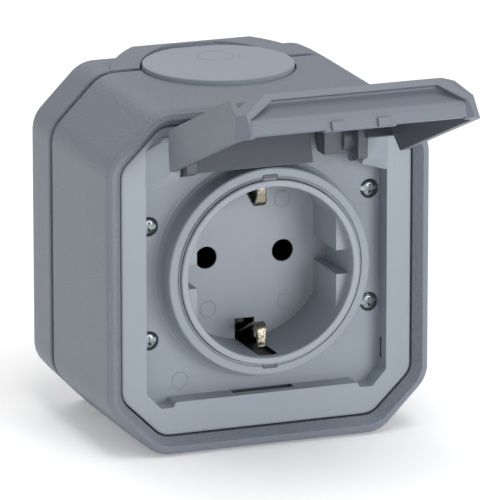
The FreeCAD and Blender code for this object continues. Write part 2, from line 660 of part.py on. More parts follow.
def carrier_boss(x, z):
    return front_rod(x, z, CARRIER_BOSS_R, FLOOR_BACK - CARRIER_BOSS_H, FLOOR_BACK + 0.5)


def contact_carrier():
    half = CARRIER_W / 2
    points = [(half, CARRIER_LOW), (half, CARRIER_HIGH), (-half, CARRIER_HIGH), (-half, CARRIER_LOW)]
    body = plate(points, 2.0, CARRIER_BACK, CARRIER_FRONT)
    head_half, head_top = CARRIER_HEAD_W / 2, CARRIER_HIGH + CARRIER_HEAD_H
    head_points = [(head_half, CARRIER_HIGH - 1), (head_half, head_top), (-head_half, head_top),
                   (-head_half, CARRIER_HIGH - 1)]
    head = plate(head_points, [0, 1.5, 1.5, 0], CARRIER_BACK, CARRIER_FRONT)
    tab_front = FLOOR_BACK - CARRIER_BOSS_H - SEAT
    tab_back = tab_front - CARRIER_TAB_T
    tab_half = CARRIER_BOSS_R + 0.1
    tabs = []
    holes = []
    for x, z in CARRIER_SCREWS:
        tabs.append(front_rod(x, z, CARRIER_BOSS_R + 0.5, tab_back, tab_front))
        tabs.append(block(x - tab_half, x + tab_half, tab_back, tab_front, z, CARRIER_LOW + 1))
        holes.append(front_rod(x, z, CARRIER_SCREW_R + 0.25, tab_back - 2, tab_front + 1))
        holes.append(front_rod(x, z, CARRIER_BOSS_R + 0.25, tab_front, CARRIER_FRONT + 1))
    back = CHAMBER_BACK
    for side in (-1, 1):
        low, high = span(side, CHAMBER_IN, CHAMBER_OUT)
        holes.append(block(low, high, back, CARRIER_FRONT + 1, WELL_Z - CHAMBER_BELOW,
                           WELL_Z + CHAMBER_ABOVE))
        holes.append(front_rod(side * PIN_SPACING / 2, WELL_Z, PIN_HOLE_R + 0.3, CARRIER_BACK - 1, back + 1))
        holes.append(front_rod(side * TERMINAL_X, TERMINAL_Z, WIRE_R + 0.3, CARRIER_BACK - 1, back + 1))
        low, high = span(side, CHAMBER_OUT - 1, half + 1)
        holes.append(cross_rod(TERMINAL_DEPTH, TERMINAL_Z, TERMINAL_SCREW_R + 1.1, low, high))
    strip_half = EARTH_STRIP_W / 2 + 0.2
    holes.append(block(-strip_half, strip_half, CARRIER_FRONT - STRIP - 0.15, CARRIER_FRONT + 1,
                       CARRIER_LOW - 1, head_top + 1))
    room = EARTH_BLOCK_W / 2 + 0.8
    block_top = EARTH_BLOCK_LOW + EARTH_BLOCK_H
    holes.append(block(-room, room, back, CARRIER_FRONT + 1, EARTH_BLOCK_LOW - 0.9, block_top + 0.8))
    holes.append(front_rod(0, EARTH_BLOCK_Z, WIRE_R + 0.3, CARRIER_BACK - 1, back + 1))
    holes.append(upright_rod(0, -TERMINAL_DEPTH, TERMINAL_SCREW_R + 1.1, block_top - 0.4, head_top + 1))
    return fuse([body, head] + tabs).cut(holes)


def pole_contact():
    """Right-hand contact: two sprung leaves around the pin and a foot that carries the terminal."""
    x = PIN_SPACING / 2
    back = CHAMBER_BACK + SEAT
    reach = LEAF_FOOT + STRIP + 0.1
    foot_half = TERMINAL_H / 2
    foot = block(x - reach, TERMINAL_X + TERMINAL_W / 2, back, back + STRIP,
                 TERMINAL_Z - foot_half, TERMINAL_Z + foot_half)
    foot = foot.fuse(block(x - reach, x + reach, back, back + STRIP, WELL_Z - LEAF_W / 2 - 0.5, TERMINAL_Z))
    leaves = []
    for side in (-1, 1):
        path = [(LEAF_FOOT, 0), (LEAF_FOOT, 0.35 * LEAF_LENGTH), (LEAF_PINCH, 0.72 * LEAF_LENGTH),
                (LEAF_MOUTH, LEAF_LENGTH)]
        path += [(a + STRIP, b) for a, b in reversed(path)]
        wire = level_wire([(x + side * a, back + b) for a, b in path], WELL_Z - LEAF_W / 2)
        leaves.append(Part.Face(wire).extrude(Vector(0, 0, LEAF_W)))
    solid = fuse([foot] + leaves)
    return solid.cut([front_rod(x, WELL_Z, PIN_HOLE_R + 0.05, back - 1, back + 2 * STRIP),
                      front_rod(TERMINAL_X, TERMINAL_Z, WIRE_R + 0.1, back - 1, back + 2 * STRIP)])


def terminal_block(x, width, z, height, back):
    """Block with the wire's bore from behind."""
    points = [(back, z - height / 2), (back + TERMINAL_D, z - height / 2),
              (back + TERMINAL_D, z + height / 2), (back, z + height / 2)]
    shape = side_prism(points, 0.6, x - width / 2, x + width / 2)
    return shape.cut(front_rod(x, z, WIRE_R, back - 1, back + TERMINAL_D - 1.2))


def pole_terminal():
    """Right-hand terminal, with its screw from the side."""
    shape = terminal_block(TERMINAL_X, TERMINAL_W, TERMINAL_Z, TERMINAL_H, CHAMBER_BACK + STRIP + 2 * SEAT)
    return shape.cut(cross_rod(TERMINAL_DEPTH, TERMINAL_Z, TERMINAL_SCREW_R + THREAD_GAP, TERMINAL_X,
                               TERMINAL_X + TERMINAL_W))


def earth_terminal():
    """Earth terminal, with its screw from above."""
    shape = terminal_block(0, EARTH_BLOCK_W, EARTH_BLOCK_Z, EARTH_BLOCK_H, CHAMBER_BACK + SEAT)
    return shape.cut(upright_rod(0, -TERMINAL_DEPTH, TERMINAL_SCREW_R + THREAD_GAP, EARTH_BLOCK_Z,
                                 EARTH_BLOCK_Z + EARTH_BLOCK_H))


def slotted_screw(head_r, head_h, shank_r, length, slot):
    """Pan head at z >= 0 and shank down -Z, with a slot along X."""
    head = Part.makeCylinder(head_r, head_h)
    head = head.makeFillet(0.35 * head_h, [e for e in head.Edges if abs(e.BoundBox.ZMin - head_h) < 1e-6])
    tip_h = 0.5 * shank_r
    tip = Part.makeCone(shank_r * 0.6, shank_r, tip_h, Vector(0, 0, -length))
    shank = Part.makeCylinder(shank_r, length - tip_h, Vector(0, 0, tip_h - length))
    cut = Part.makeBox(3 * head_r, slot, head_h, Vector(-1.5 * head_r, -slot / 2, 0.5 * head_h))
    return fuse([head, shank, tip]).cut(cut)


def placed(shape, point, direction):
    """Turns +Z of the shape to the direction and moves its origin to the point."""
    copy = shape.copy()
    copy.Placement = FreeCAD.Placement(point, FreeCAD.Rotation(Vector(0, 0, 1), direction))
    return copy


def panel_screw(x, z):
    screw = slotted_screw(SCREW_HEAD_R, SCREW_HEAD_H, SCREW_SHANK_R, SCREW_LENGTH - 1.5, SCREW_SLOT)
    bearing = RECESS_DEPTH - SCREW_SINK + SEAT
    return placed(screw, Vector(x, -bearing, z), Vector(0, -1, 0))


def carrier_screw(x, z):
    screw = slotted_screw(CARRIER_SCREW_R + 1, CARRIER_SCREW_R, CARRIER_SCREW_R, CARRIER_SCREW_LENGTH, 0.6)
    bearing = FLOOR_BACK - CARRIER_BOSS_H - CARRIER_TAB_T - 2 * SEAT
    return placed(screw, Vector(x, -bearing, z), Vector(0, 1, 0))


def terminal_screw(side):
    screw = slotted_screw(TERMINAL_SCREW_R + 0.8, TERMINAL_SCREW_R, TERMINAL_SCREW_R,
                          TERMINAL_SCREW_LENGTH, SCREW_SLOT)
    if side == 0:
        return placed(screw, Vector(0, -TERMINAL_DEPTH, EARTH_BLOCK_LOW + EARTH_BLOCK_H + 0.9), Vector(0, 0, 1))
    start = side * (TERMINAL_X + TERMINAL_W / 2 + 0.9)
    return placed(screw, Vector(start, -TERMINAL_DEPTH, TERMINAL_Z), Vector(side, 0, 0))


def earth_strip():
    """One bent strip: a web behind the floor and a sprung clip on each side of the well."""
    half = EARTH_STRIP_W / 2
    back = CARRIER_FRONT - STRIP - SEAT
    foot = WELL_R - CLIP_FOOT
    nose = WELL_R - CLIP_NOSE
    web = block(-half, half, back, back + STRIP, WELL_Z - foot, WELL_Z + foot)
    sides = [(back, foot), (FLOOR_DEPTH, foot), (FLOOR_DEPTH + CLIP_NOSE_UP, nose),
             (FLOOR_DEPTH + CLIP_TIP_UP, WELL_R), (FLOOR_DEPTH + CLIP_TIP_UP - 1.1 * STRIP, WELL_R),
             (FLOOR_DEPTH + CLIP_NOSE_UP - STRIP, nose + 1.8 * STRIP),
             (FLOOR_DEPTH + STRIP / 2, foot + STRIP), (back, foot + STRIP)]
    rounding = [0, CLIP_NOSE_R, CLIP_NOSE_R, 0, 0, CLIP_NOSE_R / 2, CLIP_NOSE_R, 0]
    clips = []
    for level in (-1, 1):
        clips.append(side_prism([(depth, WELL_Z + level * r) for depth, r in sides], rounding, -half, half))
    tail = block(-half, half, CHAMBER_BACK + TERMINAL_D + STRIP, back + STRIP / 2,
                 EARTH_BLOCK_LOW - STRIP - SEAT, EARTH_BLOCK_LOW - SEAT)
    return fuse([web, tail] + clips)


def lid_outline(half_w, low, high, cut_low, cut_high):
    """Half width, lower and upper end, and the (width, height) chamfers of lower and upper corners."""
    right = [(half_w - cut_low[0], low), (half_w, low + cut_low[1]),
             (half_w, high - cut_high[1]), (half_w - cut_high[0], high)]
    return right + [(-a, b) for a, b in reversed(right)]


def lid_sections(inset):
    """The lid's three outlines: at its back edge, at mid thickness and at its face."""
    half = LID_X - inset
    low, high = LID_END + inset, HINGE_Z - inset
    less = 0.4 * inset
    sections = []
    for side, end, top, corner, upper, depth in (
            (0, 0, LID_TOP_BACK, (3.0, 3.4), (0.8, 0.8), LID_BACK),
            (LID_STEP_SIDE, LID_STEP_END, LID_TOP_STEP, (1.7, 1.8), (0.9, 0.9), LID_FACE - LID_STEP_DEPTH),
            (LID_FACE_SIDE, LID_FACE_END, LID_TOP_FACE, (6.0, 7.2), (1.4, 1.6), LID_FACE)):
        lower = (corner[0] - less, corner[1] - less)
        sections.append((lid_outline(half - side, low + end, high - top, lower, upper), 0.4, depth))
    return sections


def lid_cove():
    """Room of the finger cove along the free end, with sloping ends between the two corner legs."""
    face, back, band = LID_FACE, LID_BACK, BAND_Z
    points = [(face - COVE_RIM, LID_END - 3), (face - COVE_RIM, band + 2.8), (face - 2 * COVE_RIM, band + 2.5),
              (face - COVE_LEAN_LOW - 0.6, band), (back - 1, band), (back - 1, LID_END - 3)]
    side = side_prism(points, [0, 0.5, 3.0, 2.5, 0, 0], -LID_X, LID_X)
    room = LID_X - LEG_W

    def mouth(half, height):
        right = [(half, back - 2), (half, face - COVE_LEAN_LOW), (half - COVE_LEAN, face - COVE_RIM + 0.1)]
        return level_wire(right + [(-x, depth) for x, depth in reversed(right)], height)

    ends = Part.makeLoft([mouth(room + COVE_SLOPE, band - COVE_SLOPE), mouth(room, band)], True, True)
    upper = Part.Face(mouth(room, band)).extrude(Vector(0, 0, 10))
    return side.common(ends.fuse(upper))


def barrel_flats():
    """Square prism whose two sides cut the barrel flat, in front and below when the lid stands open."""
    angle = math.radians(LID_OPEN)
    along = Vector(math.sin(angle), math.cos(angle), 0)
    across = Vector(-math.cos(angle), math.sin(angle), 0)
    corner = Vector(HINGE_DEPTH, HINGE_Z, 0) - across * BARREL_FRONT - along * BARREL_BELOW
    size = 3 * BARREL_R
    corners = [corner, corner + along * size, corner + (along + across) * size, corner + across * size]
    return side_prism([(p.x, p.y) for p in corners], 0, 0, TONGUE_X)


def lid_hinge():
    """Discs, barrels and webs beside the ears, and the wall that closes the lid behind the axis."""
    d, z = HINGE_DEPTH, HINGE_Z
    face, back = LID_FACE, LID_BACK
    inner_x = TONGUE_X - DISC_W
    shapes = []
    for side in (-1, 1):
        low, high = span(side, inner_x, TONGUE_X)
        disc = cross_rod(d, z, DISC_R, low, high).common(block(low, high, 0, face, z - 20, z + 20))
        disc = disc.cut(block(low - 1, high + 1, d, face + 9, z, z + 20))
        disc = disc.cut(block(low - 1, high + 1, 0, face + 9, z + 2.6, z + 20))
        nose = RECESS_DEPTH + DISC_GAP
        low_face = z - CHEEK_LOW - CHEEK_SLOPE * (face - nose)
        points = [(nose, z - 0.5), (nose, z - CHEEK_LOW), (face, low_face), (face, z - 0.5)]
        cheek = side_prism(points, 0, low, high)
        neck = cross_rod(d, z, BARREL_R - 0.8, *span(side, inner_x - BARREL_SHORT, TONGUE_X))
        shapes += [disc, cheek, neck]
    shapes.append(cross_rod(d, z, BARREL_R, inner_x - BARREL_W, inner_x + 0.2).common(barrel_flats()))
    rear = cross_rod(d, z, BARREL_R, -inner_x - 0.2, REAR_END)
    rear = rear.cut(cross_rod(d, z, BARREL_R - LID_WALL, -inner_x - 1, REAR_END + 1))
    rear = rear.cut(block(-inner_x - 1, REAR_END + 1, 0, face + 9, z - 20, z))
    wall = block(-inner_x - 0.2, REAR_END, back + 0.6, face - 0.2, z - 0.2, z + 1.4)
    return shapes + [rear, wall]


def lid_closed():
    shell = skin(lid_sections(0)).cut(lid_cove())
    d, z = HINGE_DEPTH, HINGE_Z
    face, back, band = LID_FACE, LID_BACK, BAND_Z
    top = z + 10
    room_points = [(face - LID_SKIN, top), (face - LID_SKIN, band + 4.0), (face - 3.3, band + 3.65),
                   (face - 6.8, band + LID_WALL), (back - 1, band + LID_WALL), (back - 1, top)]
    room = side_prism(room_points, 0, -LID_X, LID_X)
    shell = shell.cut(room.common(skin(lid_sections(LID_WALL))))
    tongue = block(-TONGUE_X, TONGUE_X, face - LID_SKIN, face, z - 13, z)
    inner_x = TONGUE_X - DISC_W
    throat = block(-inner_x, inner_x, back - 1, face - LID_SKIN, z - 15, z - 0.2)
    wide = LID_X - LID_WALL
    narrow = wide - LID_STEP_SIDE * EAR_NOTCH / (LID_T - LID_STEP_DEPTH)
    notch = level_wire([(wide, back - 1), (wide, back), (narrow, back + EAR_NOTCH),
                        (-narrow, back + EAR_NOTCH), (-wide, back), (-wide, back - 1)], z - 15)
    notch = Part.Face(notch).extrude(Vector(0, 0, 15))
    shell = fuse([shell.cut([throat, notch]), tongue] + lid_hinge())
    half = CATCH_W / 2
    low = band - CATCH_PROUD
    catches = []
    for side in (-1, 1):
        middle = side * CATCH_X
        catches.append(block(middle - half, middle + half, back, back + CATCH_H, low, band + 0.5))
    shell = fuse([shell] + catches)
    trims = []
    for side in (-1, 1):
        low, high = span(side, BAND_MIDDLE, LID_X - LEG_W - 0.3)
        trims.append(block(low, high, back - 1, back + BAND_TRIM, LID_END - 1, band + 4))
        low, high = span(side, TONGUE_X - HINGE_PIN_IN, TONGUE_X + 1)
        trims.append(cross_rod(d, z, HINGE_PIN_R + HINGE_RUNNING_GAP, low, high))
    return shell.cut(trims)


def lid_seal_closed():
    inner = COLLAR_IN_R + LID_SEAL_SIDE
    return well_ring(inner + LID_SEAL_W, inner, COLLAR_DEPTH + LID_SEAL_GAP, LID_FACE - LID_SKIN - SEAT)


def hinge_pin(side):
    low, high = span(side, TONGUE_X - HINGE_PIN_IN, EAR_IN + HINGE_PIN_DEEP - 0.1)
    return cross_rod(HINGE_DEPTH, HINGE_Z, HINGE_PIN_R, low, high)


def opened(shape):
    """Swings a piece of the lid from closed to its open place."""
    copy = shape.copy()
    copy.rotate(Vector(0, -HINGE_DEPTH, HINGE_Z), Vector(1, 0, 0), -LID_OPEN)
    return copy


def save(name, shape):
    solids = shape.Solids
    if len(solids) != 1 or not shape.isValid():
        print("check", name, "solids", len(solids), "valid", shape.isValid())
    piece = solids[0] if len(solids) == 1 else shape
    piece.exportStep("parts/%s.step" % name)
    print("%-24s volume %9.1f faces %3d" % (name, piece.Volume, len(piece.Faces)))


def main():
    save("back_box", back_box())
    save("box_seal", box_seal())
    save("front_housing", front_housing())
    save("cable_entry", cable_entry())
    save("insert_panel", insert_panel())
    save("panel_seal", panel_seal())
    save("socket_bowl", socket_bowl())
    save("bowl_seal", bowl_seal())
    save("contact_carrier", contact_carrier())
    contact, terminal = pole_contact(), pole_terminal()
    save("neutral_contact", contact)
    save("live_contact", mirrored(contact))
    save("neutral_terminal", terminal)
    save("live_terminal", mirrored(terminal))
    save("earth_terminal", earth_terminal())
    save("earth_strip", earth_strip())
    for name, side in (("live", -1), ("earth", 0), ("neutral", 1)):
        save(name + "_terminal_screw", terminal_screw(side))
    for number, (x, z) in enumerate(screw_places(), 1):
        save("panel_screw_%d" % number, panel_screw(x, z))
    for number, (x, z) in enumerate(CARRIER_SCREWS, 1):
        save("carrier_screw_%d" % number, carrier_screw(x, z))
    save("hinge_pin_left", hinge_pin(-1))
    save("hinge_pin_right", hinge_pin(1))
    save("lid", opened(lid_closed()))
    save("lid_seal", opened(lid_seal_closed()))


main()
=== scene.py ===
# %% [markdown]
# # A weatherproof socket outlet for an outside wall
# The real object is a deep grey plastic box with a round, recessed earthed socket in its front and a hinged
# lid that stands open over it. A soft grey plug closes the cable entry on top.
# The exact forms were drawn in CAD, so this script loads them as a fixed frame. It gives every part its
# finish and adds the small moulded details, then it sets up the floor, the light and the camera.

# %% Load the model
import json
import math
import bmesh
import bpy
from mathutils import Matrix, Vector


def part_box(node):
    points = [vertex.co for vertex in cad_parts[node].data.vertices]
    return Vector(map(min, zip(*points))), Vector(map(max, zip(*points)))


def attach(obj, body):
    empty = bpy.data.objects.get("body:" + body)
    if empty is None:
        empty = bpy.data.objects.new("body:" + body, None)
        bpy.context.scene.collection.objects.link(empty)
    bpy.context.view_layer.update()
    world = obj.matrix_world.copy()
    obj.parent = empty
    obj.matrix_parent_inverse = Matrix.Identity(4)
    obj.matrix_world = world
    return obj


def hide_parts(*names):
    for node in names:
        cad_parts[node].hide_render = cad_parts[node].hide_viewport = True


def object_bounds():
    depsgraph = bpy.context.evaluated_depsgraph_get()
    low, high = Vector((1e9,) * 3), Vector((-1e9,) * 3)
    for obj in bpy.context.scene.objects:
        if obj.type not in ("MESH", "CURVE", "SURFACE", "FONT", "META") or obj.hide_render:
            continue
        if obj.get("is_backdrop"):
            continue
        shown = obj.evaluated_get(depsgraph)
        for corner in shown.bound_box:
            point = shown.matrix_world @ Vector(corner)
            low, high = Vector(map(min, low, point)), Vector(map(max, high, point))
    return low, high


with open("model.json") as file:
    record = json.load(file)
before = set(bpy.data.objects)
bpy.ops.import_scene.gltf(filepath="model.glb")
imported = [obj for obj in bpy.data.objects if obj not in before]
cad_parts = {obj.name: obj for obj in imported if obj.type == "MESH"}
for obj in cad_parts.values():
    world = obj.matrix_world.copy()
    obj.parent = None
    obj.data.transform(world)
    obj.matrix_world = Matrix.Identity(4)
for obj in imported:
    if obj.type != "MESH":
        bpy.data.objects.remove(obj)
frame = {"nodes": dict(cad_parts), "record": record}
nodes = frame["nodes"]
cad_low, cad_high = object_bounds()
print("CAD box", [round(v, 4) for v in cad_high - cad_low], "with", len(nodes), "nodes")

# %% [markdown]
# ## Moulded plastic
# Three greys of the same kind of plastic make up the box, the panel and the lid. A flat colour looks like
# paint, so each grey gets a fine spark-eroded grain in its bump, a slow cloudiness in its colour, and
# edges that are softened a little, as every moulding has. The soft edge is the Bevel node's: it only turns
# the shading normal near an edge. An image texture could do the same, but noise on object coordinates
# needs no unwrapping and has no seams.

# %% Helpers for node trees
MM = 0.001


def new_material(name):
    """An empty material with its shader, as (material, nodes, links, shader)."""
    material = bpy.data.materials.new(name)
    material.use_nodes = True
    tree = material.node_tree
    return material, tree.nodes, tree.links, tree.nodes["Principled BSDF"]


def noise_at(tree_nodes, links, scale, detail=3.0):
    """Noise on object coordinates; the scale is in lumps per metre."""
    place = tree_nodes.new("ShaderNodeTexCoord")
    noise = tree_nodes.new("ShaderNodeTexNoise")
    noise.inputs["Scale"].default_value = scale
    noise.inputs["Detail"].default_value = detail
    links.new(place.outputs["Object"], noise.inputs["Vector"])
    return noise


def bumped_surface(material, height, edge, edge_samples, strength, relief):
    """Bends the shader's normal by a height socket, over softened edges; edge and relief in millimetres."""
    tree = material.node_tree
    bevel = tree.nodes.new("ShaderNodeBevel")
    bevel.samples = edge_samples
    bevel.inputs["Radius"].default_value = edge * MM
    bump = tree.nodes.new("ShaderNodeBump")
    bump.inputs["Strength"].default_value = strength
    bump.inputs["Distance"].default_value = relief * MM
    tree.links.new(height, bump.inputs["Height"])
    tree.links.new(bevel.outputs["Normal"], bump.inputs["Normal"])
    tree.links.new(bump.outputs["Normal"], tree.nodes["Principled BSDF"].inputs["Normal"])


# %% Plastic
CLOUD_SCALE = 45.0
GRAIN_DETAIL = 2.0
PLASTIC_IOR = 1.5
PLASTIC_EDGE_SAMPLES = 6


def plastic(name, colour, roughness, grain=0.06, edge=0.25, lumps=2600.0, cloud=0.035, relief=0.1):
    """Grained plastic: linear colour, roughness, strength of the grain and edge radius in millimetres."""
    material, tree_nodes, links, shader = new_material(name)
    shader.inputs["Roughness"].default_value = roughness
    shader.inputs["IOR"].default_value = PLASTIC_IOR
    clouds = noise_at(tree_nodes, links, CLOUD_SCALE)
    ramp = tree_nodes.new("ShaderNodeMapRange")
    ramp.inputs["To Min"].default_value = 1.0 - cloud
    ramp.inputs["To Max"].default_value = 1.0 + cloud
    links.new(clouds.outputs["Fac"], ramp.inputs["Value"])
    tint = tree_nodes.new("ShaderNodeVectorMath")
    tint.operation = "SCALE"
    tint.inputs[0].default_value = colour
    links.new(ramp.outputs["Result"], tint.inputs["Scale"])
    links.new(tint.outputs["Vector"], shader.inputs["Base Color"])
    fine = noise_at(tree_nodes, links, lumps, GRAIN_DETAIL)
    bumped_surface(material, fine.outputs["Fac"], edge, PLASTIC_EDGE_SAMPLES, grain, relief)
    return material


# %% [markdown]
# ## Plated metal
# The screws are zinc plated, the earth clips nickel plated and the hidden contacts plain brass. A plating is
# never quite even, so one noise varies the gloss a little and dents the surface a little. The metal's colour
# stays the same all over, because a metal looks like metal through what it reflects; only where the strip and
# the contacts lie behind the well is it mixed towards black later, as painted shade.

# %% Metal
SPOT_DETAIL = 4.0
GLOSS_RANGE = (0.75, 1.3)
METAL_EDGE = 0.12
METAL_EDGE_SAMPLES = 4


def metal(name, colour, roughness, scratch=0.05, spots_scale=900.0, dent=0.12):
    """Metal with a fine unevenness in its gloss; dent is the depth of the unevenness in millimetres."""
    material, tree_nodes, links, shader = new_material(name)
    shader.inputs["Metallic"].default_value = 1.0
    shader.inputs["Base Color"].default_value = (*colour, 1)
    spots = noise_at(tree_nodes, links, spots_scale, SPOT_DETAIL)
    ramp = tree_nodes.new("ShaderNodeMapRange")
    ramp.inputs["To Min"].default_value = roughness * GLOSS_RANGE[0]
    ramp.inputs["To Max"].default_value = roughness * GLOSS_RANGE[1]
    links.new(spots.outputs["Fac"], ramp.inputs["Value"])
    links.new(ramp.outputs["Result"], shader.inputs["Roughness"])
    bumped_surface(material, spots.outputs["Fac"], METAL_EDGE, METAL_EDGE_SAMPLES, scratch, dent)
    return material


# %% [markdown]
# ## Painted shade in the hollows
# A look through a pin hole or an earth slot ends in the shade of the contact chamber, and the slots in the
# recess end in the shade of the box. A few boxes in object coordinates say where that is, and the colour is
# mixed towards black inside them as painted shade. Less light would do the same for one view, but this holds
# from every side.

# %% Places of the hollows
# X counts from the middle plane and heights from the well's axis. What ends in SHADE or FRONT is a Y.
WELL_Z = 0.5 * MM
FLOOR_SHADE = -34.75 * MM
SLOT_HALF = 2.45 * MM
STRIP_SHADE = -33.9 * MM
SLOT_FRONT = -49.6 * MM
CATCH_SLOT_HALF = 7.6 * MM
CATCH_SLOT_TOP = -29.45 * MM
CATCH_SLOT_END = -32.6 * MM
# From low to high, and from near the middle to far
SIDE_SLOT = ((-24.9 * MM, -19.9 * MM), (29.68 * MM, 31.05 * MM))
POCKET_RADIUS = 20.36 * MM
POCKET_FRONT = -50.35 * MM
KEY_RADIUS = 22.15 * MM
# From near the middle to far, and from low to high
CHAMBER = ((3.7 * MM, 19.3 * MM), (-8.1 * MM, 10.9 * MM))
CHAMBER_FRONT = -20.3 * MM
# The black that the hollows' colour is mixed towards, as painted shade.
PAINTED_SHADE_BLACK = (0.004, 0.004, 0.005, 1)
print("well axis at", WELL_Z, "m, its floor's shade from", FLOOR_SHADE, "m")

# %% Helpers for the masks
MIX_FIRST = 6
MIX_SECOND = 7
MIX_COLOUR = 2


def maths(tree, operation, first, second=0.0):
    """One Math node of a node tree on sockets or numbers; returns its output."""
    step = tree.nodes.new("ShaderNodeMath")
    step.operation = operation
    for socket, source in zip(step.inputs, (first, second)):
        if isinstance(source, float):
            socket.default_value = source
        else:
            tree.links.new(source, socket)
    return step.outputs["Value"]


def all_of(tree, tests):
    """Product of masks: 1 where each (socket, sign, limit) holds."""
    product = 1.0
    for socket, sign, limit in tests:
        mask = maths(tree, "GREATER_THAN" if sign > 0 else "LESS_THAN", socket, limit)
        product = maths(tree, "MULTIPLY", mask, product)
    return product


def place_sockets(tree):
    """Distance from the middle plane, Y, height over the well's axis and distance from that axis."""
    place = tree.nodes.new("ShaderNodeTexCoord")
    parts = tree.nodes.new("ShaderNodeSeparateXYZ")
    tree.links.new(place.outputs["Object"], parts.inputs["Vector"])
    across = maths(tree, "ABSOLUTE", parts.outputs["X"])
    height = maths(tree, "SUBTRACT", parts.outputs["Z"], WELL_Z)
    across_squared = maths(tree, "MULTIPLY", across, across)
    height_squared = maths(tree, "MULTIPLY", height, height)
    radius = maths(tree, "SQRT", maths(tree, "ADD", across_squared, height_squared))
    return across, parts.outputs["Y"], height, radius


def paint_shade(material, mask, share):
    """Paints shade: mixes the colour towards black where the mask is 1, by a share."""
    tree = material.node_tree
    base = tree.nodes["Principled BSDF"].inputs["Base Color"]
    mix = tree.nodes.new("ShaderNodeMix")
    mix.data_type = "RGBA"
    tree.links.new(maths(tree, "MULTIPLY", mask, share), mix.inputs["Factor"])
    if base.links:
        tree.links.new(base.links[0].from_socket, mix.inputs[MIX_FIRST])
    else:
        mix.inputs[MIX_FIRST].default_value = base.default_value
    mix.inputs[MIX_SECOND].default_value = PAINTED_SHADE_BLACK
    tree.links.new(mix.outputs[MIX_COLOUR], base)


# %% Masks for the painted shade in the hollows
# Shares of painted shade: how far each mask mixes the colour towards black.
KEY_SHADE_SHARE = 0.7
RECESS_SHADE_SHARE = 0.8
STRIP_SHADE_SHARE = 0.96


def shade_well(material):
    """Paints shade on the bowl behind its floor, in the slots behind the earth clips and on its two keys."""
    tree = material.node_tree
    across, out, _, radius = place_sockets(tree)
    behind = all_of(tree, [(out, 1, FLOOR_SHADE)])
    pocket = all_of(tree, [(across, -1, SLOT_HALF), (radius, 1, POCKET_RADIUS), (out, 1, POCKET_FRONT)])
    key = all_of(tree, [(radius, 1, KEY_RADIUS)])
    paint_shade(material, maths(tree, "MAXIMUM", behind, pocket), 1.0)
    paint_shade(material, key, KEY_SHADE_SHARE)


def shade_chamber(material, share):
    """Paints shade on what lies inside the contact chambers."""
    tree = material.node_tree
    across, out, height, _ = place_sockets(tree)
    (near, far), (below, above) = CHAMBER
    inside = all_of(tree, [(across, 1, near), (across, -1, far), (height, 1, below), (height, -1, above),
                           (out, -1, CHAMBER_FRONT)])
    slot = all_of(tree, [(across, -1, SLOT_HALF), (out, -1, CHAMBER_FRONT)])
    paint_shade(material, maths(tree, "MAXIMUM", inside, slot), share)


def shade_recess(material):
    """Paints shade in the slot for the lid's catches and in the two narrow slots in the recess's side walls.
    """
    tree = material.node_tree
    across, out, height, _ = place_sockets(tree)
    catches = all_of(tree, [(out, 1, SLOT_FRONT), (across, -1, CATCH_SLOT_HALF), (height, -1, CATCH_SLOT_TOP),
                            (height, 1, CATCH_SLOT_END)])
    (low, high), (near, far) = SIDE_SLOT
    side = all_of(tree, [(out, 1, SLOT_FRONT), (across, 1, near), (across, -1, far), (height, 1, low),
                         (height, -1, high)])
    paint_shade(material, maths(tree, "MAXIMUM", catches, side), RECESS_SHADE_SHARE)


def shade_strip(material):
    """Paints shade on what of the earth strip lies behind the well's floor."""
    tree = material.node_tree
    _, out, _, _ = place_sockets(tree)
    paint_shade(material, all_of(tree, [(out, 1, STRIP_SHADE)]), STRIP_SHADE_SHARE)


# %% [markdown]
# ## The inside of the lid
# The lid's hollow is painted darker than its outside: its colour is mixed towards black as painted shade of
# the hollow. The lid stands tilted, so the mask first turns the object coordinates by that tilt about the
# hinge.
# A second material on the inner faces would need the CAD mesh to be taken apart, and a mask leaves it whole.

# %% Mask for the painted shade inside the lid
HINGE_Y = -51.1 * MM
HINGE_Z = 30.7 * MM
OPEN_TILT = math.radians(22.2)
# From the hinge to the lid's end, and how far under the skin
INSIDE = ((-0.2 * MM, 54.9 * MM), 3.1 * MM)
WALL_LEAN = 0.214
WALL_INNER = 27.0 * MM


def shade_lid(material, share):
    """Paints shade on the inside of the lid, mixing its colour towards black."""
    tree = material.node_tree
    across, out, height, _ = place_sockets(tree)
    away = maths(tree, "SUBTRACT", out, HINGE_Y)
    up = maths(tree, "SUBTRACT", height, HINGE_Z - WELL_Z)
    along = maths(tree, "SUBTRACT", maths(tree, "MULTIPLY", up, math.sin(OPEN_TILT)),
                  maths(tree, "MULTIPLY", away, math.cos(OPEN_TILT)))
    outward = maths(tree, "ADD", maths(tree, "MULTIPLY", up, math.cos(OPEN_TILT)),
                    maths(tree, "MULTIPLY", away, math.sin(OPEN_TILT)))
    aside = maths(tree, "ADD", across, maths(tree, "MULTIPLY", outward, WALL_LEAN))
    (near, far), under_skin = INSIDE
    mask = all_of(tree, [(along, 1, near), (along, -1, far), (outward, -1, under_skin),
                         (aside, -1, WALL_INNER)])
    paint_shade(material, mask, share)


# %% [markdown]
# ## The finishes
# The box and the lid are deep greys, and the box has the coarsest grain. The panel and the well are lighter
# and satin, and the soft cable entry is duller than the panel. Each finish is one call with its colour and
# its roughness, so all of them can be compared and tuned in one place.

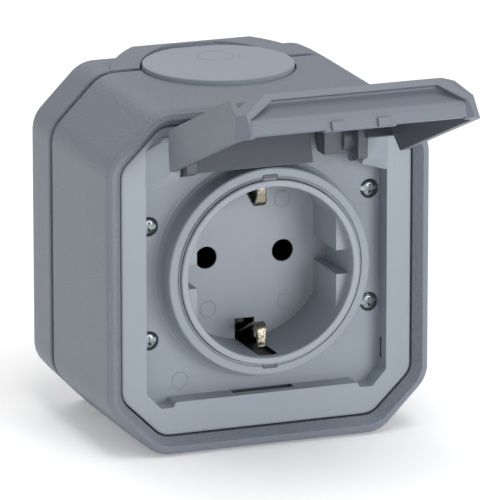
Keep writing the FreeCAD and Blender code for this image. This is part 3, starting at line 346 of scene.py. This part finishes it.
# %% Plastics and rubber
BODY_GREY = (0.163, 0.184, 0.222)
PANEL_GREY = (0.268, 0.304, 0.347)
LID_GREY = (0.148, 0.165, 0.200)
WELL_GREY = (0.315, 0.352, 0.395)
RUBBER_BLACK = (0.012, 0.012, 0.014)
CARRIER_CREAM = (0.62, 0.62, 0.58)
CHAMBER_SHADE_SHARE = 0.97
LID_SHADE_SHARE = 0.5
body_grey = plastic("body_grey", BODY_GREY, roughness=0.47, grain=1.0, lumps=1800.0, relief=0.2)
panel_grey = plastic("panel_grey", PANEL_GREY, roughness=0.45, grain=0.07)
# Painted shade in the slot for the lid's catches and in the side slots of the recess.
shade_recess(panel_grey)
lid_grey = plastic("lid_grey", LID_GREY, roughness=0.46, grain=0.07)
# Painted shade inside the lid's hollow.
shade_lid(lid_grey, LID_SHADE_SHARE)
well_grey = plastic("well_grey", WELL_GREY, roughness=0.42, grain=0.05)
# Painted shade on the bowl behind its floor, in the slots behind the earth clips and on the keys.
shade_well(well_grey)
entry_grey = plastic("entry_grey", PANEL_GREY, roughness=0.55, grain=0.05)
seal_black = plastic("seal_black", RUBBER_BLACK, roughness=0.6, grain=0.03, edge=0.1)
carrier_white = plastic("carrier_white", CARRIER_CREAM, roughness=0.45, grain=0.04)
# Painted shade: the carrier inside the contact chambers is mixed almost to black.
shade_chamber(carrier_white, CHAMBER_SHADE_SHARE)
print("plastics", len(bpy.data.materials))

# %% Metals
ZINC = (0.27, 0.315, 0.325)
NICKEL = (0.27, 0.25, 0.2)
BRASS = (0.74, 0.56, 0.27)
zinc_steel = metal("zinc_steel", ZINC, roughness=0.3, scratch=0.15)
nickel = metal("nickel", NICKEL, roughness=0.24, scratch=0.8, spots_scale=800.0, dent=0.5)
# Painted shade on the part of the strip that lies behind the well's floor.
shade_strip(nickel)
brass = metal("brass", BRASS, roughness=0.3)
# Painted shade: the contacts inside the chambers are mixed almost to black.
shade_chamber(brass, CHAMBER_SHADE_SHARE)
print("plastics and metals", len(bpy.data.materials))

# %% Give each CAD part its finish
FINISHES = {"body_grey": body_grey, "panel_grey": panel_grey, "lid_grey": lid_grey, "entry_grey": entry_grey,
            "seal_black": seal_black, "carrier_white": carrier_white, "zinc_steel": zinc_steel,
            "nickel": nickel, "brass": brass}
for subpart in frame["record"]["subparts"]:
    piece = nodes[subpart["node"]]
    piece.data.materials.clear()
    piece.data.materials.append(FINISHES[subpart["material_slot"]])
nodes["socket_bowl"].data.materials[0] = well_grey

# %% [markdown]
# ## Combination screws
# Four zinc plated screws hold the panel. Their pan heads have a wide slot with a cross in its middle, sunk
# in a round counterbore. A screw could be a revolved curve. Here a cylinder's top face is inset in
# small steps, which domes it, and its underside is inset and extruded to the shank. Two cutters make the
# recess. One screw is modelled, and the others are copies with their own mesh.

# %% Helpers for an open mesh
def start_edit(piece):
    """Makes a piece the only selected one and opens its mesh with nothing selected."""
    bpy.ops.object.select_all(action="DESELECT")
    piece.select_set(True)
    bpy.context.view_layer.objects.active = piece
    bpy.ops.object.mode_set(mode="EDIT")
    bpy.ops.mesh.select_all(action="DESELECT")


def pick(piece, kind, test):
    """Selects the faces or vertices of the open mesh whose middle passes the test."""
    bpy.ops.mesh.select_mode(type=kind)
    cage = bmesh.from_edit_mesh(piece.data)
    for element in {"VERT": cage.verts, "FACE": cage.faces}[kind]:
        middle = element.co if kind == "VERT" else element.calc_center_median()
        element.select_set(test(middle, element))
    cage.select_flush(kind != "VERT")
    bmesh.update_edit_mesh(piece.data)


DOUBLE_GAP = 0.001 * MM


def close_edit(piece):
    """Merges doubles, points the faces outwards and leaves edit mode."""
    bpy.ops.mesh.select_all(action="SELECT")
    bpy.ops.mesh.remove_doubles(threshold=DOUBLE_GAP)
    bpy.ops.mesh.normals_make_consistent(inside=False)
    bpy.ops.object.mode_set(mode="OBJECT")


# %% Helpers for a finished piece
SMOOTH_ANGLE = 35


def settle(piece, angle=SMOOTH_ANGLE):
    """Puts the place into the mesh and smooths what is round."""
    bpy.ops.object.select_all(action="DESELECT")
    piece.select_set(True)
    bpy.context.view_layer.objects.active = piece
    bpy.ops.object.transform_apply(location=True, rotation=True, scale=True)
    bpy.ops.object.shade_smooth_by_angle(angle=math.radians(angle))


def cut_away(piece, size, place):
    """Cuts a block out of a piece with an applied Boolean."""
    bpy.ops.object.select_all(action="DESELECT")
    bpy.ops.mesh.primitive_cube_add(size=1.0, location=place)
    cutter = bpy.context.object
    cutter.scale = size
    bpy.ops.object.transform_apply(location=True, rotation=True, scale=True)
    cut = piece.modifiers.new("cut", "BOOLEAN")
    cut.operation = "DIFFERENCE"
    cut.solver = "EXACT"
    cut.object = cutter
    bpy.context.view_layer.objects.active = piece
    bpy.ops.object.modifier_apply(modifier=cut.name)
    bpy.data.objects.remove(cutter)


# %% Model one screw, its head towards +Z
HEAD_R = 2.0 * MM
HEAD_H = 1.5 * MM
HEAD_EDGE = 0.75 * MM
# Inset and rise of each step, in millimetres
DOME_STEPS = ((0.08, 0.22), (0.2, 0.21), (0.35, 0.17), (0.5, 0.11), (0.4, 0.04))
SHANK_R = 1.55 * MM
SHANK_LENGTH = 14.5 * MM
WIDE_SLOT = (5 * MM, 1.1 * MM, 1.8 * MM)
CROSS_SLOT = (0.6 * MM, 2.2 * MM, 2.2 * MM)
UPRIGHT = 0.9
bpy.ops.object.select_all(action="DESELECT")
bpy.ops.mesh.primitive_cylinder_add(vertices=40, radius=HEAD_R, depth=HEAD_EDGE,
                                    location=(0, 0, HEAD_EDGE / 2))
screw = bpy.context.object
bpy.ops.object.transform_apply(location=True)
start_edit(screw)
pick(screw, "FACE", lambda middle, face: face.normal.z > UPRIGHT)
for step, rise in DOME_STEPS:
    bpy.ops.mesh.inset(thickness=step * MM, depth=rise * MM)
pick(screw, "FACE", lambda middle, face: face.normal.z < -UPRIGHT)
bpy.ops.mesh.inset(thickness=HEAD_R - SHANK_R, depth=0)
bpy.ops.mesh.extrude_region_move(TRANSFORM_OT_translate={"value": (0, 0, -SHANK_LENGTH)})
close_edit(screw)
for slot_size in (WIDE_SLOT, CROSS_SLOT):
    cut_away(screw, slot_size, (0, 0, HEAD_H))
print("screw", len(screw.data.polygons), "faces")

# %% Set the four screws in their counterbores
SCREW_TILTS = {"panel_screw_1": 4, "panel_screw_2": -7, "panel_screw_3": 3, "panel_screw_4": -5}
for node, tilt in SCREW_TILTS.items():
    low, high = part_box(node)
    copy = bpy.data.objects.new("combination_" + node, screw.data.copy())
    bpy.context.scene.collection.objects.link(copy)
    copy.rotation_euler = (math.radians(90), math.radians(tilt), 0)
    copy.location = ((low[0] + high[0]) / 2, low[1] + HEAD_H, (low[2] + high[2]) / 2)
    settle(copy)
    copy.data.materials.append(zinc_steel)
    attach(copy, "socket")
    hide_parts(node)
bpy.data.objects.remove(screw)
print("screws", len(SCREW_TILTS))

# %% [markdown]
# ## Earth strip
# The earth contact is one nickel plated strip. It lies behind the well's floor, and a narrow sprung clip
# stands up on each side of the well, bent to a round nose. A strip is easy to draw as a bevelled curve,
# but its flat section would twist. Extruding one edge from bend to bend keeps it flat, and Solidify then
# gives the sheet its thickness before a Bevel rounds the stamped edges.

# %% Extrude the strip along its bends
CLIP_HALF = 1.45 * MM
# Y and distance from the well's axis of each bend, in millimetres, from the floor to the tip
HALF_BENDS = [(-31.85, 17.4), (-32.6, 18.3), (-34.0, 18.45), (-36.0, 18.0), (-39.5, 16.35), (-42.4, 15.0),
              (-43.6, 14.45), (-44.5, 14.25), (-45.3, 14.6), (-45.8, 15.4), (-46.0, 16.6), (-46.1, 18.2),
              (-46.1, 19.7)]
bends = [(out, -away) for out, away in reversed(HALF_BENDS)] + HALF_BENDS
bpy.ops.object.select_all(action="DESELECT")
bpy.ops.mesh.primitive_plane_add(size=1.0)
strip = bpy.context.object
strip.name = "sprung_earth_strip"
start_edit(strip)
pick(strip, "VERT", lambda middle, vert: middle.y > 0)
bpy.ops.mesh.delete(type="VERT")
cage = bmesh.from_edit_mesh(strip.data)
for vert in cage.verts:
    side = 1 if vert.co.x > 0 else -1
    vert.co = (side * CLIP_HALF, bends[0][0] * MM, WELL_Z + bends[0][1] * MM)
bmesh.update_edit_mesh(strip.data)
bpy.ops.mesh.select_all(action="SELECT")
for before, after in zip(bends, bends[1:]):
    step = (0, (after[0] - before[0]) * MM, (after[1] - before[1]) * MM)
    bpy.ops.mesh.extrude_region_move(TRANSFORM_OT_translate={"value": step})
print("strip runs", len(bends) - 1)

# %% Narrow the clips' tips
TIP_REACH = 16.0 * MM
TIP_OUT = -45.5 * MM
TIP_WIDTH = 0.8
pick(strip, "VERT", lambda middle, vert: middle.y < TIP_OUT and abs(middle.z - WELL_Z) > TIP_REACH)
bpy.ops.transform.resize(value=(TIP_WIDTH, 1, 1))
close_edit(strip)
print("strip faces", len(strip.data.polygons))

# %% Thicken the strip and round its edges
SHEET = 0.8 * MM
STAMPED_EDGE = 0.36 * MM
STAMPED_STEPS = 4
STAMPED_ANGLE = 50
thick = strip.modifiers.new("sheet", "SOLIDIFY")
thick.thickness = SHEET
thick.offset = 0
soft = strip.modifiers.new("stamped_edges", "BEVEL")
soft.width = STAMPED_EDGE
soft.segments = STAMPED_STEPS
soft.angle_limit = math.radians(STAMPED_ANGLE)
for modifier in (thick, soft):
    bpy.context.view_layer.objects.active = strip
    bpy.ops.object.modifier_apply(modifier=modifier.name)
settle(strip, STAMPED_ANGLE)
strip.data.materials.append(nickel)
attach(strip, "socket")
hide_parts("earth_strip")
print("rounded strip faces", len(strip.data.polygons))

# %% [markdown]
# ## Ejector marks
# The pins that push a moulding out of its mould leave faint round marks. They could be bump in the material,
# but a real rim catches the light from any side. Each one is a disc a few hundredths of a millimetre high
# whose top is inset and pushed down again, so that only a fine ring stands out. The ring on the soft cable
# entry is made the same way.

# %% Helper for a mark
MARK_RISE = 0.05 * MM
MARK_SINK = 0.04 * MM
MARK_LINE = 0.09 * MM


def ejector_mark(name, x, y, z, radius, finish, facing="front"):
    """A fine raised ring on a plane that faces the front or up."""
    bpy.ops.object.select_all(action="DESELECT")
    bpy.ops.mesh.primitive_cylinder_add(vertices=64, radius=radius, depth=2 * MARK_RISE)
    mark = bpy.context.object
    mark.name = name
    start_edit(mark)
    pick(mark, "FACE", lambda middle, face: face.normal.z > UPRIGHT)
    bpy.ops.mesh.inset(thickness=MARK_LINE, depth=0)
    bpy.ops.mesh.inset(thickness=MARK_LINE / 3, depth=-MARK_SINK)
    close_edit(mark)
    if facing == "front":
        mark.rotation_euler = (math.radians(90), 0, 0)
    mark.location = (x, y, z)
    settle(mark)
    mark.data.materials.append(finish)
    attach(mark, "socket")


# %% Marks on the well's floor, the panel's plate and the cable entry
MARK_R = 2.0 * MM
WELL_FLOOR_Y = -35.1 * MM
PLATE_Y = -45.0 * MM
# Name, X and height in millimetres, the plane's Y and the finish
MARKS = [("ejector_mark_upper", 9.4, 12.9, WELL_FLOOR_Y, well_grey),
         ("ejector_mark_right", 10.1, -11.8, WELL_FLOOR_Y, well_grey),
         ("ejector_mark_left", -9.0, -11.9, WELL_FLOOR_Y, well_grey),
         ("ejector_mark_plate", -19.7, -25.2, PLATE_Y, panel_grey)]
for name, across, up, level, finish in MARKS:
    ejector_mark(name, across * MM, level, up * MM, MARK_R, finish)
RING_X = 1.5 * MM
RING_Y = -12.2 * MM
RING_R = 4.4 * MM
entry_low, entry_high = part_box("cable_entry")
ejector_mark("entry_ring", RING_X, RING_Y, entry_high[2], RING_R, entry_grey, "up")
print("marks", len(MARKS) + 1, "on an entry from", round(entry_low[2], 4), "to", round(entry_high[2], 4))

# %% [markdown]
# ## Floor and light
# The socket stands on a plain pale floor, which glows a little so that it stays pale under the box. The key
# light is a large soft one in front and to the right, so the well's floor is bright and its walls fall off.
# One from above and in front lights the top and the lid. A weak fill in front, two weak lights on the left
# and one on the right keep every side readable, and the backdrop light keeps the floor behind white. The
# pale world fills the rest. Fewer, stronger lights would do, but their shadows would hide the recess.

# %% Floor
FLOOR_SIZE = 6.0
FLOOR_WHITE = 0.95
FLOOR_ROUGHNESS = 0.85
FLOOR_GLOW = 0.2
bpy.ops.object.select_all(action="DESELECT")
bpy.ops.mesh.primitive_plane_add(size=FLOOR_SIZE, location=(0, 0, cad_low.z))
floor = bpy.context.object
floor.name = "floor"
floor_paint, _, _, floor_shader = new_material("pale_floor")
floor_shader.inputs["Base Color"].default_value = (FLOOR_WHITE, FLOOR_WHITE, FLOOR_WHITE, 1)
floor_shader.inputs["Roughness"].default_value = FLOOR_ROUGHNESS
floor_shader.inputs["Emission Color"].default_value = (1, 1, 1, 1)
floor_shader.inputs["Emission Strength"].default_value = FLOOR_GLOW
floor.data.materials.append(floor_paint)
floor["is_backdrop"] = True
print("floor at", round(cad_low.z, 4))

# %% Pale room
ROOM_LIGHT = 0.44
world = bpy.data.worlds.new("pale_room")
bpy.context.scene.world = world
world.use_nodes = True
world.node_tree.nodes["Background"].inputs["Color"].default_value = (1, 1, 1, 1)
world.node_tree.nodes["Background"].inputs["Strength"].default_value = ROOM_LIGHT
print("room light", ROOM_LIGHT)

# %% Lamps
TO_WELL = (0, -0.05, 0)
TO_BODY = (0, -0.03, 0)
TO_BACKDROP = (0, 0.75, -0.04)
# Name, place, target, size and power of each lamp
LAMPS = [("key", (0.42, -1.08, 0.13), TO_WELL, 0.5, 5.8),
         ("fill", (-0.25, -1.15, 0.27), TO_WELL, 0.5, 0.6),
         ("above", (0.0, -0.45, 1.0), TO_BODY, 0.6, 6.0),
         ("left", (-1.2, -0.1, 0.25), TO_BODY, 0.6, 0.3),
         ("left_behind", (-1.0, 0.55, 0.3), TO_BODY, 0.6, 0.4),
         ("right", (1.1, -0.4, 0.25), TO_BODY, 0.5, 1.0),
         ("backdrop", (0.0, 0.95, 0.8), TO_BACKDROP, 0.8, 3.0)]


def soft_light(name, place, target, size, power):
    """A square area light at a place, turned to a target."""
    lamp = bpy.data.lights.new(name, "AREA")
    lamp.size = size
    lamp.energy = power
    lamp_object = bpy.data.objects.new(name, lamp)
    bpy.context.scene.collection.objects.link(lamp_object)
    lamp_object.location = place
    lamp_object.rotation_euler = (Vector(target) - Vector(place)).to_track_quat("-Z", "Y").to_euler()


for lamp_facts in LAMPS:
    soft_light(*lamp_facts)
print("lamps", len(LAMPS))

# %% [markdown]
# ## Camera
# The picture looks slightly down and from the left, with a very long lens, so that upright edges stay nearly
# parallel. The camera's axes are worked out from its turn and its tilt and then set as one matrix. A Track
# To constraint would do too, but the two small shifts along the picture are plainer this way.

# %% Camera
YAW = math.radians(-20.937)
PITCH = math.radians(15.213)
DISTANCE = 1.5
SIDE_SHIFT = -4.002 * MM
RISE = 4.557 * MM
PANEL_FRONT = -50.0 * MM
SENSOR_WIDTH = 36.0
FOCAL_PIXELS = 6518.65
FRAME_PIXELS = 500
NEAREST = 0.05
forward = Vector((-math.sin(YAW) * math.cos(PITCH), math.cos(YAW) * math.cos(PITCH), -math.sin(PITCH)))
rightward = Vector((math.cos(YAW), math.sin(YAW), 0))
upward = rightward.cross(forward)
aim = Vector((0, PANEL_FRONT, WELL_Z))
lens = bpy.data.cameras.new("camera")
lens.sensor_width = SENSOR_WIDTH
lens.lens = FOCAL_PIXELS / FRAME_PIXELS * lens.sensor_width
lens.clip_start = NEAREST
camera = bpy.data.objects.new("camera", lens)
bpy.context.scene.collection.objects.link(camera)
turn = Matrix((rightward, upward, -forward)).transposed()
camera.matrix_world = turn.to_4x4()
camera.location = aim - DISTANCE * forward + SIDE_SHIFT * rightward + RISE * upward
bpy.context.scene.camera = camera
bpy.context.scene.view_settings.view_transform = "Standard"
print("lens", round(lens.lens, 1), "mm from", [round(v, 3) for v in camera.location])

# %% Size and finish
low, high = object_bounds()
